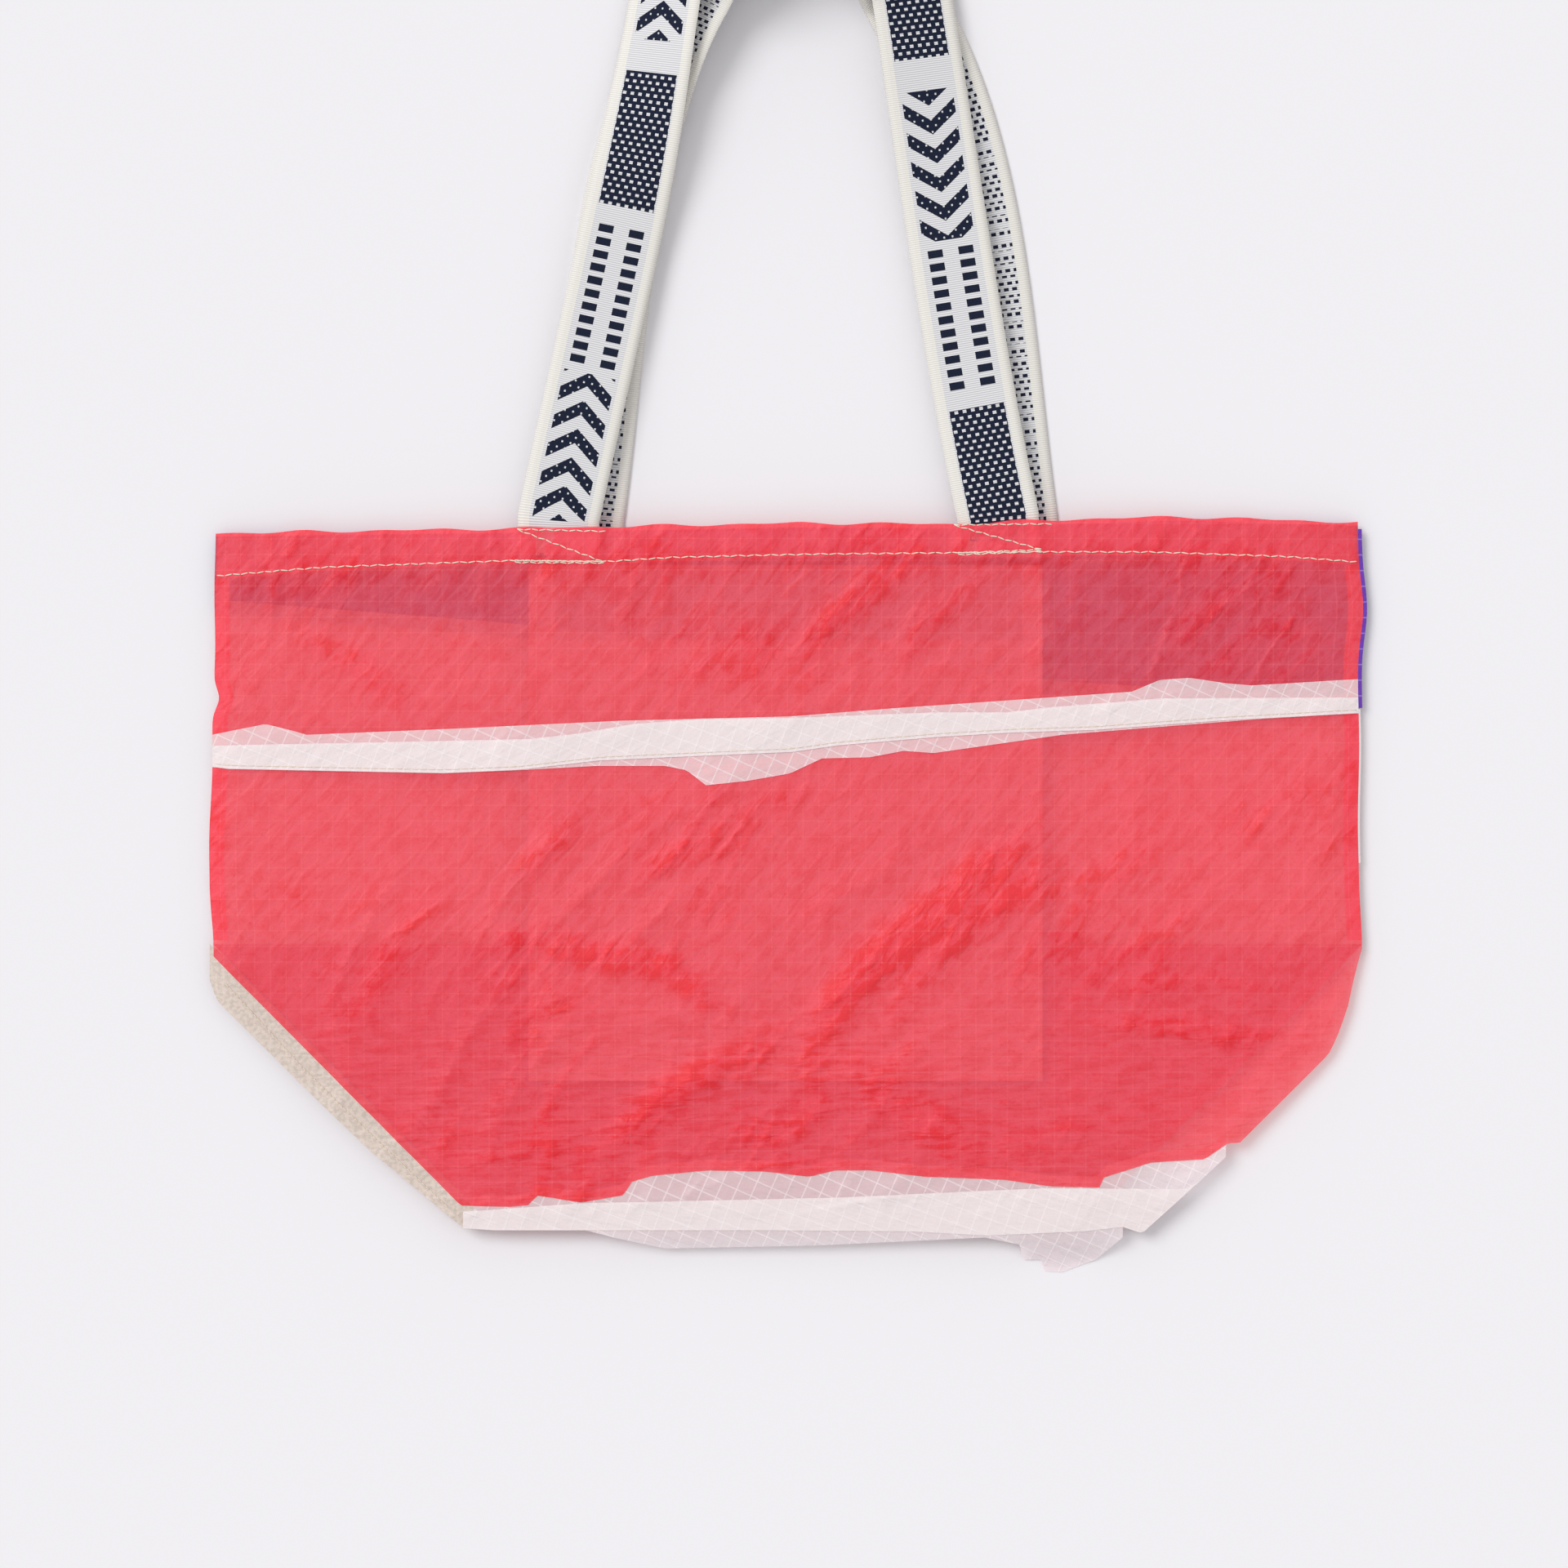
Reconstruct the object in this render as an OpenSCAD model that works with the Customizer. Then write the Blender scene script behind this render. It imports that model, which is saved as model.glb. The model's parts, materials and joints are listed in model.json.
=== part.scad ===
// Foldable tote bag, empty and laid flat on its back panel.
// X runs across the bag, +Y runs from the bottom crease to the handles, and +Z is the thickness.
// The base is tucked up inside as a V, and each bottom corner is folded in along a 45 degree line.
// Outlines are drawn from the bottom crease up, then moved so that the box is centred on the origin.

/* [Bag] */
// Width of the flat bag between its side seams
bag_w = 537; // [460:1:600]
// Height from the bottom crease to the top edge
bag_h = 325; // [300:1:360]
// Half the depth of the base, which is also the size of each folded corner
fold_c = 133; // [110:1:140]
// Thickness of one layer of cloth
cloth_t = 0.5; // [0.3:0.1:0.6]
// Height of the folded top hem
hem_h = 15; // [12:1:18]
// Clear gap between the two hems, which is the mouth of the empty bag
mouth_gap = 5.1; // [4.8:0.1:10]

/* [Seams] */
// Height of the back panel's slanting seam above the crease, at the middle
back_seam_y = 264; // [240:1:280]
// Fall of the back seam from left to right, per millimetre across
back_seam_slope = -0.071; // [-0.1:0.001:0]
// Height of the front tape above the crease, at the middle
tape_y = 235; // [220:1:250]
// Rise of the front tape from left to right, per millimetre across
tape_slope = 0.048; // [0:0.001:0.08]
// Width of the front tape
tape_w = 15; // [10:1:24]
// Thickness of the tapes
tape_t = 0.3; // [0.2:0.1:0.5]
// Height of the red panel's lower edge above the crease
red_low = 22; // [15:1:30]
// Length of the bottom tape's frayed flap below the crease
flap_drop = 21; // [10:1:25]
// Width of the strip along the left corner fold
corner_strip_w = 12; // [6:1:14]
// Width of a sewing thread as it lies in its seam
thread_w = 0.7; // [0.5:0.1:1]
// Height of a sewing thread above the cloth
thread_t = 0.3; // [0.2:0.1:0.4]

/* [Inner pocket] */
// Width of the pocket
pocket_w = 238; // [180:1:250]
// Height of the pocket's bottom above the crease
pocket_low = 69; // [50:1:90]
// Height of the pocket's mouth above the crease
pocket_mouth = 274; // [250:1:285]

/* [Handles] */
// Width of the webbing
strap_w = 38; // [30:1:40]
// Thickness of the webbing
strap_t = 1.2; // [1:0.1:1.4]
// Height of the handle hinge line above the top edge
hinge_gap = 5.5; // [5:0.5:8]
// Length of webbing that stands out of the hem before it bends
stub_len = 1.9; // [1:0.1:2]
// Height above the crease where the straight strands end and the arch starts
arch_y = 572; // [560:1:620]
// Front handle: places of its two strands across the bag, at the hem
front_hem_x = [-106.6, 98];
// Front handle: places of its two strands where the arch starts
front_arch_x = [-57, 58];
// Front handle: lean of the strands at the hem and at the arch
front_lean = [12, 9];
// Back handle: places of its two strands across the bag, at the hem
back_hem_x = [-95.5, 107];
// Back handle: places of its two strands where the arch starts
back_arch_x = [-43, 54];
// Back handle: lean of the strands at the hem and at the arch
back_lean = [8, 30];
// Twist of the left and right strands where the arch starts; at its top the webbing stands on edge
arch_twist = [28, 10];

/* [Hidden] */

half_w = bag_w / 2;
fold_x = half_w - fold_c;
// Clearance between panels of different bodies, and the finer one between stacked layers
gap = 0.4;
skin = 0.05;

// Levels: the back panel lies on the ground, and the folds turn about its upper face
back_z = cloth_t;
hem_stack = strap_t + cloth_t;
front_z = back_z + 2 * hem_stack + mouth_gap;
mid_z = (back_z + front_z) / 2;
// The base halves clear the pocket, which is two layers and a thread
base_lift = 2 * cloth_t + thread_t + 0.1;
// The base halves stop short of the corner folds, which swing past them
base_x = fold_x - 9;

// The box is centred: its ends are the frayed flap and the top of the front handle's arch
arch_r = (front_arch_x[1] - front_arch_x[0]) / 2 / cos(front_lean[1]);
arch_top = arch_y + arch_r * (1 - sin(front_lean[1])) + strap_t / 2;
crease_y = -round((arch_top - flap_drop) / 2);

red = [0.86, 0.27, 0.25];
purple = [0.36, 0.33, 0.52];
pale = [0.80, 0.78, 0.76];
white = [0.93, 0.93, 0.91];
beige = [0.70, 0.66, 0.58];
navy = [0.25, 0.29, 0.38];
cream = [0.93, 0.90, 0.82];

function back_seam(x) = back_seam_y + back_seam_slope * x;
function front_tape(x) = tape_y + tape_slope * x;
// The two ends of a column across the bag: -1 is the left flank, 0 the middle, 1 the right flank
function column(side) =
    side == 0 ? [-fold_x + gap, fold_x - gap]
    : side < 0 ? [-half_w, -fold_x - gap]
    : [fold_x + gap, half_w];
// Bottom outline of a panel, which rises at 45 degrees past the corner fold
function bottom(x, low) = max(low, abs(x) - fold_x);

// A flat piece of cloth: an outline above the crease, at height z
module slab(outline, z, t = cloth_t) {
    translate([0, crease_y, z]) linear_extrude(t) polygon(outline);
}

// A rectangle from low to high, x and y
module patch(low, high, z, t = cloth_t) {
    slab([low, [high[0], low[1]], high, [low[0], high[1]]], z, t);
}

// A thread between two points
module thread(a, b, z) {
    along = b - a;
    across = [-along[1], along[0]] / norm(along) * thread_w / 2;
    slab([a - across, b - across, b + across, a + across], z, thread_t);
}

// Upper and lower pieces of the two panels, column by column
module back_upper(side) {
    x = column(side);
    color(purple) slab([
        [x[0], back_seam(x[0]) + gap / 2],
        [x[1], back_seam(x[1]) + gap / 2],
        [x[1], bag_h],
        [x[0], bag_h]
    ], 0);
}

module back_lower(side) {
    x = column(side);
    color(pale) slab([
        [x[0], bottom(x[0], 0)],
        [x[1], bottom(x[1], 0)],
        [x[1], back_seam(x[1]) - gap / 2],
        [x[0], back_seam(x[0]) - gap / 2]
    ], 0);
}

module front_upper(side) {
    x = column(side);
    color(red) slab([
        [x[0], front_tape(x[0]) + skin],
        [x[1], front_tape(x[1]) + skin],
        [x[1], bag_h],
        [x[0], bag_h]
    ], front_z);
}

module front_lower(side) {
    x = column(side);
    low = side == 0 ? red_low : 0;
    color(red) slab([
        [x[0], bottom(x[0], low)],
        [x[1], bottom(x[1], low)],
        [x[1], front_tape(x[1]) - skin],
        [x[0], front_tape(x[0]) - skin]
    ], front_z);
}

// The tape that covers the front panel's seam
module front_tape_strip(side) {
    x = column(side);
    color(white) slab([
        [x[0], front_tape(x[0]) - tape_w / 2],
        [x[1], front_tape(x[1]) - tape_w / 2],
        [x[1], front_tape(x[1]) + tape_w / 2],
        [x[0], front_tape(x[0]) + tape_w / 2]
    ], front_z + cloth_t, tape_t);
}

module front_tape_thread(side) {
    x = column(side);
    z = front_z + cloth_t + tape_t;
    color(cream) thread([x[0], front_tape(x[0])], [x[1], front_tape(x[1])], z);
}

// A hem folded to the inside, in one level layer, or stepped over the handle ends it holds
module hem(side, strap_x, inside_up) {
    x = column(side);
    low = bag_h - hem_h;
    end = cloth_t + gap / 2;
    // The middle length stops short of the fold, to leave room for the flank's hem as it turns
    short = side == 0 ? gap : 0;
    from = x[0] + (side < 0 ? end : short);
    to = x[1] - (side > 0 ? end : short);
    reach = strap_w / 2 + cloth_t + skin;
    flat_z = inside_up ? back_z : front_z - cloth_t;
    step_z = inside_up ? back_z : front_z - hem_stack;
    cover_z = inside_up ? back_z + strap_t : front_z - hem_stack;
    color(inside_up ? purple : red) union() {
        difference() {
            patch([from, low], [to, bag_h], flat_z);
            for (s = strap_x) patch([s - reach, low - 1], [s + reach, bag_h + 1], flat_z - 1, cloth_t + 2);
        }
        for (s = strap_x) {
            patch([s - reach, low], [s + reach, bag_h], cover_z);
            for (edge = [s - reach, s + reach - cloth_t]) {
                patch([edge, low], [edge + cloth_t, bag_h], step_z, hem_stack);
            }
        }
    }
}

module back_hem(side) {
    hem(side, side == 0 ? back_hem_x : [], true);
}

module front_hem(side) {
    hem(side, side == 0 ? front_hem_x : [], false);
}

// The back hem's thread lies on the inside, so that the bag rests on cloth alone
module back_hem_thread(side) {
    x = column(side);
    y = bag_h - hem_h - thread_w;
    inset = cloth_t + gap / 2;
    color(cream) thread([x[0] + inset, y], [x[1] - inset, y], back_z);
}

module front_hem_thread(side) {
    x = column(side);
    y = bag_h - hem_h;
    color(cream) thread([x[0], y], [x[1], y], front_z + cloth_t);
}

// The end of a handle, sewn into the hem
module handle_end(x, z) {
    low = bag_h - hem_h + 1;
    color(navy) patch([x - strap_w / 2, low], [x + strap_w / 2, bag_h + stub_len], z, strap_t);
}

// A Z of thread that holds each end of a handle
module handle_thread(strap_x, z) {
    half = strap_w / 2 - 2;
    top = bag_h - 1.5;
    low = bag_h - hem_h + 1.5;
    color(cream) for (x = strap_x) {
        union() {
            thread([x - half, top], [x + half, top], z);
            thread([x - half, top], [x + half, low], z);
            thread([x - half, low], [x + half, low], z);
        }
    }
}

// The inner pocket hangs from the front hem; its inner layer is shorter and leaves the mouth
module pocket_outer() {
    top = bag_h - hem_h - 2 * thread_w;
    color(pale) patch([-pocket_w / 2, pocket_low], [pocket_w / 2, top], front_z - cloth_t);
}

module pocket_inner() {
    z = front_z - 2 * cloth_t;
    color(pale) patch([-pocket_w / 2, pocket_low], [pocket_w / 2, pocket_mouth], z);
}

module pocket_thread() {
    x = pocket_w / 2 - 3;
    low = pocket_low + 3;
    z = front_z - 2 * cloth_t - thread_t;
    color(cream) union() {
        thread([-x, pocket_mouth - 1], [-x, low], z);
        thread([-x - thread_w / 2, low], [x + thread_w / 2, low], z);
        thread([x, low], [x, pocket_mouth - 1], z);
    }
}

// Side seam allowances, which close the sides up to the level halfway between the panels
module side_seam(side, z0, z1) {
    x = side < 0 ? -half_w : half_w - cloth_t;
    color(red) patch([x, fold_c + 1], [x + cloth_t, bag_h], z0, z1 - z0);
}

// A corner's folded triangle, cut short where the real cloth flexes as the corner opens
module corner(side, z) {
    start = 8;
    stop = fold_c - 3;
    rise = 0.778 * fold_c;
    color(red) slab([
        [side * (fold_x + start), start],
        [side * (fold_x + stop), stop],
        [side * (fold_x + stop - 12), stop],
        [side * (fold_x + 0.5), rise],
        [side * (fold_x + 0.5), start + 8]
    ], z);
}

// The two halves of the base, and the seam where they meet
module base_half(z) {
    color(red) patch([-base_x, 1], [base_x, fold_c], z);
}

module base_seam(z0, z1) {
    color(red) patch([-base_x, fold_c - cloth_t], [base_x, fold_c], z0, z1 - z0);
}

// The tape along the bottom crease, with a flap that hangs past it
module bottom_tape() {
    x = fold_x - gap;
    color(white) slab([
        [-x, 0],
        [-x + 40, -6],
        [x - 70, -6],
        [x - 50, -flap_drop],
        [x - 20, -flap_drop],
        [x, 0],
        [x, red_low - skin],
        [-x, red_low - skin]
    ], front_z);
}

// The strip that shows past the left corner fold, on the outer face
module corner_strip_left() {
    across = corner_strip_w / sqrt(2);
    color(beige) slab([
        [-fold_x, 0],
        [-half_w, fold_c],
        [-half_w, fold_c - 2 * across],
        [-fold_x - across, -across]
    ], front_z + cloth_t + skin);
}

// A handle's centre line, from hem to hem: a bent strand, a round arch and a second strand
strand_steps = 14;
arch_steps = 20;
function ease(u) = u <= 0 ? 0 : u >= 1 ? 1 : u * u * (3 - 2 * u);
function bezier(p, u) =
    pow(1 - u, 3) * p[0] + 3 * pow(1 - u, 2) * u * p[1] + 3 * (1 - u) * u * u * p[2] + pow(u, 3) * p[3];
// Side is 1 for the left strand, which leans to the right, and -1 for the right strand
function strand_ends(hem_x, arch_x, lean, side) = let (
    p0 = [hem_x, bag_h + hinge_gap + 0.5],
    p3 = [arch_x, arch_y],
    pull = (arch_y - bag_h) / 3
) [
    p0,
    p0 + pull * [side * sin(lean[0]), cos(lean[0])],
    p3 - pull * [side * sin(lean[1]), cos(lean[1])],
    p3
];
// Each station is [x, y, twist]
function strand(ends, twist, reversed) = [
    for (i = [0 : strand_steps]) let (
        u = reversed ? 1 - i / strand_steps : i / strand_steps,
        p = bezier(ends, u)
    ) [p[0], p[1], twist * ease(2 * u - 1)]
];
function arch(arch_x, lean) = let (
    r = (arch_x[1] - arch_x[0]) / 2 / cos(lean),
    cx = (arch_x[0] + arch_x[1]) / 2,
    cy = arch_y - r * sin(lean)
) [
    for (i = [1 : arch_steps - 1]) let (
        u = i / arch_steps,
        a = 180 - lean - u * (180 - 2 * lean),
        twist = arch_twist[u < 0.5 ? 0 : 1]
    ) [cx + r * cos(a), cy + r * sin(a), twist + (90 - twist) * ease(1 - abs(2 * u - 1))]
];
function handle_line(hem_x, arch_x, lean) = concat(
    strand(strand_ends(hem_x[0], arch_x[0], lean, 1), arch_twist[0], false),
    arch(arch_x, lean[1]),
    strand(strand_ends(hem_x[1], arch_x[1], lean, -1), arch_twist[1], true)
);

// Four corners of the webbing's section; its inner edge rises as it twists, and its outer edge stays low
function section(line, i, hinge_z) = let (
    before = line[max(i - 1, 0)],
    after = line[min(i + 1, len(line) - 1)],
    run = [after[0] - before[0], after[1] - before[1]],
    inward = [run[1], -run[0]] / norm(run),
    twist = line[i][2],
    wide = [inward[0] * cos(twist), inward[1] * cos(twist), sin(twist)] * strap_w / 2,
    thick = [-inward[0] * sin(twist), -inward[1] * sin(twist), cos(twist)] * strap_t / 2,
    z = hinge_z * (1 - sin(twist)) + (strap_w / 2 + 0.15) * sin(twist),
    middle = [line[i][0], line[i][1] + crease_y, z]
) [middle - wide - thick, middle + wide - thick, middle + wide + thick, middle - wide + thick];

module webbing(line, hinge_z) {
    rings = len(line);
    points = [for (i = [0 : rings - 1]) each section(line, i, hinge_z)];
    walls = [
        for (i = [0 : rings - 2], k = [0 : 3]) let (a = 4 * i + k, b = 4 * i + (k + 1) % 4)
            each [[a, b, b + 4], [a, b + 4, a + 4]]
    ];
    last = 4 * (rings - 1);
    ends = [[0, 3, 2], [0, 2, 1], [last, last + 1, last + 2], [last, last + 2, last + 3]];
    color(navy) polyhedron(points, concat(walls, ends));
}

module handle_front() {
    webbing(handle_line(front_hem_x, front_arch_x, front_lean), front_z - strap_t / 2);
}

module handle_back() {
    webbing(handle_line(back_hem_x, back_arch_x, back_lean), back_z + strap_t / 2);
}

back_upper(0);  // back_upper_centre
back_upper(-1);  // back_upper_left
back_upper(1);  // back_upper_right
back_lower(0);  // back_lower_centre
back_lower(-1);  // back_lower_left
back_lower(1);  // back_lower_right
back_hem(0);  // back_hem_centre
back_hem(-1);  // back_hem_left
back_hem(1);  // back_hem_right
back_hem_thread(0);  // back_hem_thread_centre
back_hem_thread(-1);  // back_hem_thread_left
back_hem_thread(1);  // back_hem_thread_right
handle_end(back_hem_x[0], back_z);  // back_handle_end_left
handle_end(back_hem_x[1], back_z);  // back_handle_end_right
handle_thread(back_hem_x, back_z + hem_stack);  // back_handle_thread
pocket_outer();
pocket_inner();
pocket_thread();
side_seam(-1, back_z, mid_z - gap / 2);  // side_seam_back_left
side_seam(1, back_z, mid_z - gap / 2);  // side_seam_back_right
side_seam(-1, mid_z + gap / 2, front_z);  // side_seam_front_left
side_seam(1, mid_z + gap / 2, front_z);  // side_seam_front_right
corner(-1, back_z + skin);  // corner_back_left
corner(1, back_z + skin);  // corner_back_right
corner(-1, front_z - skin - cloth_t);  // corner_front_left
corner(1, front_z - skin - cloth_t);  // corner_front_right
base_half(back_z + base_lift);  // base_back
base_half(front_z - base_lift - cloth_t);  // base_front
base_seam(back_z + base_lift + cloth_t, mid_z - gap / 2);  // base_seam_back
base_seam(mid_z + gap / 2, front_z - base_lift - cloth_t);  // base_seam_front
front_upper(0);  // front_upper_centre
front_upper(-1);  // front_upper_left
front_upper(1);  // front_upper_right
front_lower(0);  // front_lower_centre
front_lower(-1);  // front_lower_left
front_lower(1);  // front_lower_right
front_tape_strip(0);  // front_tape_centre
front_tape_strip(-1);  // front_tape_left
front_tape_strip(1);  // front_tape_right
front_tape_thread(0);  // front_tape_thread_centre
front_tape_thread(-1);  // front_tape_thread_left
front_tape_thread(1);  // front_tape_thread_right
front_hem(0);  // front_hem_centre
front_hem(-1);  // front_hem_left
front_hem(1);  // front_hem_right
front_hem_thread(0);  // front_hem_thread_centre
front_hem_thread(-1);  // front_hem_thread_left
front_hem_thread(1);  // front_hem_thread_right
handle_end(front_hem_x[0], front_z - strap_t);  // front_handle_end_left
handle_end(front_hem_x[1], front_z - strap_t);  // front_handle_end_right
handle_thread(front_hem_x, front_z + cloth_t);  // front_handle_thread
bottom_tape();
corner_strip_left();
handle_front();
handle_back();
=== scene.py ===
"""A thin ripstop tote bag, empty and laid flat: translucent cloths, frayed tapes, two webbing handles.

Cloth shapes are written in millimetres from the bottom crease up: x across the bag, y towards the handles
and z up from the ground. to_frame() moves them into the frame, in metres.
"""
import json
import math

import bpy
import numpy as np
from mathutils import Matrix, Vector


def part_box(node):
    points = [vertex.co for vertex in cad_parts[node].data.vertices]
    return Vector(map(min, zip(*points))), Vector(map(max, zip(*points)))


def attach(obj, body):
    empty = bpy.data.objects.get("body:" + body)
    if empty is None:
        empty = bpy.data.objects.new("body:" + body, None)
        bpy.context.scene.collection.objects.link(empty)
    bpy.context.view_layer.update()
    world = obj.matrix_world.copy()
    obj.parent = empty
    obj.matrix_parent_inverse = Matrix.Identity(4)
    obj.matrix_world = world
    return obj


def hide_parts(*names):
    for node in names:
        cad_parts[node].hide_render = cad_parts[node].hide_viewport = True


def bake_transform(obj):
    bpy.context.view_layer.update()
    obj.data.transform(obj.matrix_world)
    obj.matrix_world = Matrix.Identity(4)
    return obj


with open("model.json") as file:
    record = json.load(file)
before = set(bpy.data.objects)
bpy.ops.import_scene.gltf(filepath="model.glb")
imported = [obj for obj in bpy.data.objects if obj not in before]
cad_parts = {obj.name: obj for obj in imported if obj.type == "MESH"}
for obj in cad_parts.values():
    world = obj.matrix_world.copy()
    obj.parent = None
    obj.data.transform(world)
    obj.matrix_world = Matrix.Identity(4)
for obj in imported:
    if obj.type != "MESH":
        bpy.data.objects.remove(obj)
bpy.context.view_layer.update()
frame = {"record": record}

# ---------------------------------------------------------------- the frame, in millimetres
MM = 0.001
joints = {j["name"]: [v / MM for v in j["pos_m"]] for j in frame["record"]["behaviour"]["joints"]}
CREASE = joints["base_unfold"][1]
FOLD_X = joints["back_flank_right_fold"][0]
BACK_Z = joints["base_unfold"][2]
FRONT_Z = joints["front_panel_level"][2]
MID_Z = joints["base_seam_unfold"][2]
HINGE_Y = joints["front_handle_swing"][1] - CREASE
HALF_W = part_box("front_hem_right")[1][0] / MM
BAG_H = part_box("front_hem_centre")[1][1] / MM - CREASE
FOLD_C = HALF_W - FOLD_X
RISE = FRONT_Z - MID_Z

# ---------------------------------------------------------------- outlines seen from above
# Each curve is a short list of places across the bag with a height above the crease
TOP_EDGE = [(-268, 324), (-123, 326), (6, 328.5), (78, 328), (124, 330), (183, 331.5), (268, 329)]
HEM_STITCH = [(-268, 304), (-216, 308), (-129, 311), (-84, 310.5), (-53, 312.5), (13, 314), (120, 315),
              (170, 315), (233, 313), (268, 310.5)]
RED_LOW = [(-151, 11), (-129, 10.5), (-119, 11.5), (-118, 16), (-96, 12.5), (-76, 16), (-73, 22), (-63, 25),
           (-37, 27.5), (-11, 27), (10, 24.5), (22, 27.5), (38, 27.5), (64, 24.5), (101, 23), (122, 20),
           (145, 19.5), (146.5, 24), (169, 31), (194, 32.5), (205, 40)]
TAPE_TOP = [(-268, 230), (-243, 235), (-229, 231.5), (-224, 230), (-151, 233), (-78, 236.5), (1, 238.5),
            (52, 242.5), (103, 246), (160, 250), (173, 255.5), (187, 256.5), (204, 254), (216, 253),
            (268, 256)]
TAPE_LOW = [(-268, 215), (-260, 214), (-160, 212), (-125, 213.5), (-89, 215.5), (-57, 215.5), (-47, 213.5),
            (-38, 206.5), (-19, 208.5), (1, 212), (16, 219), (38, 219.5), (54, 222.5), (68, 221.5),
            (128, 230), (171, 233.5), (222, 237.5), (268, 240)]
BAND_TOP = [(-268, 225), (-219, 226), (-121, 228), (-98, 230.5), (-72, 235), (-40, 237.5), (0, 237.8),
            (70, 240.5), (102, 240.5), (124, 243), (150, 245), (174, 247), (268, 247.5)]
BAND_LOW = [(-268, 215.2), (-260, 214.2), (-160, 212.2), (-125, 213.7), (-88, 218), (-56, 219.5), (2, 222),
            (23, 225), (70, 229), (104, 231), (142, 232.2), (201, 236.6), (268, 240.2)]
SWEEP_TOP = [(-151, 8.5), (-96, 12.5), (20, 15), (121, 19.5), (185, 19), (205, 30)]
SWEEP_LOW = [(-151, 0.5), (-137, -0.5), (-8, -0.5), (57, -1), (93, -3), (138, -1), (156, 1), (165, -2),
             (205, 34.5)]
FRAY_LOW = [(-96, 0), (-81, -4), (-57, -9.5), (13, -8), (92, -4), (108, -7.5), (110, -15), (118, -15),
            (120, -20.5), (128, -21), (144, -15), (156, -4)]
STRIP_OUT = [(-270, 117), (-266, 106), (-226, 66.5), (-194, 36), (-151, 0.5), (-137, 0.5)]
BACK_SEAM = [(-268, 287), (-138, 277), (128, 249), (268, 241)]
LEFT_CHAMFER = 141
RIGHT_CORNER = [(170, 0), (252, 81), (256, 89), (261, 103), (264.5, 119), (268.5, 133)]
POCKET_X = (-120.5, 118.5)
POCKET_Y = (69, 309)
POCKET_MOUTH = 274

# The larger folds of the front cloth: a line along each, its half width and its height
FOLDS = [
    ([(118, 186), (88, 163), (60, 140), (27, 112), (11, 78)], 9, 3.2),
    ([(128, 172), (96, 150), (70, 128), (44, 92)], 7, 2.0),
    ([(-140, 137), (-98, 129), (-56, 123), (-30, 98)], 7, 2.4),
    ([(64, 312), (30, 292), (14, 278), (6, 262)], 7, 2.2),
    ([(92, 303), (64, 282), (52, 262)], 6, 1.4),
    ([(-4, 92), (-34, 74), (-60, 60), (-92, 33)], 8, 2.2),
    ([(30, 72), (64, 50), (88, 30)], 8, 1.6),
    ([(140, 96), (184, 93), (238, 86)], 5, 1.5),
    ([(150, 112), (196, 116), (222, 110)], 4, 1.0),
    ([(-160, 160), (-186, 128), (-208, 86)], 8, 1.6),
    ([(-92, 196), (-116, 172), (-124, 160)], 6, 1.2),
    ([(-230, 278), (-196, 262), (-176, 240)], 6, 1.4),
    ([(214, 300), (190, 284), (176, 266)], 6, 1.4),
    ([(-20, 196), (-44, 176), (-74, 166)], 6, 1.2),
]

# The front panel's handle, then the back panel's: where each strand leaves the hem and meets the arch
HANDLES = {
    "front": dict(hem_x=(-106.6, 98), arch_x=(-57, 58), lean=(12, 9), z=FRONT_Z - 0.6,
                  panel="front_panel", up=1),
    "back": dict(hem_x=(-95.5, 107), arch_x=(-43, 54), lean=(8, 30), z=BACK_Z + 0.6,
                 panel="back_panel", up=-1),
}
ARCH_Y = 572
ARCH_TWIST = (28, 10)
STRAP_W = 38
STRAP_T = 1.2


def curve(points, wave=0.0):
    """The height of an outline at x, straight between its points or a little wavy."""
    xs, ys = zip(*points)
    return lambda x: np.interp(x, xs, ys) + wave * (np.sin(x / 5.3) + np.sin(x / 8.9 + 2)) / 2


def smooth(value, low, high):
    t = np.clip((value - low) / (high - low), 0, 1)
    return t * t * (3 - 2 * t)


def to_frame(x, y, z):
    return np.stack([x, y + CREASE, z], -1).reshape(-1, 3) * MM


# ---------------------------------------------------------------- wrinkles
def noise(x, y, seed):
    """Smooth random heights from 0 to 1 over a unit lattice that repeats."""
    size = 64
    table = np.random.default_rng(seed).random((size, size))
    i, j = np.floor(x).astype(int), np.floor(y).astype(int)
    u, v = smooth(x - i, 0, 1), smooth(y - j, 0, 1)
    i, j, k, m = i % size, j % size, (i + 1) % size, (j + 1) % size
    return (table[i, j] * (1 - u) + table[k, j] * u) * (1 - v) + (table[i, m] * (1 - u) + table[k, m] * u) * v


def ridges(x, y, degrees, length, width, seed, sharp=2.0):
    """Long soft creases that run at an angle, from 0 to 1."""
    c, s = math.cos(math.radians(degrees)), math.sin(math.radians(degrees))
    bend = 26 * noise(x / 60, y / 60, seed + 1)
    along = (x * c + y * s + bend) / length
    across = (-x * s + y * c + bend) / width
    return (1 - np.abs(2 * noise(along, across, seed) - 1)) ** sharp


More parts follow.
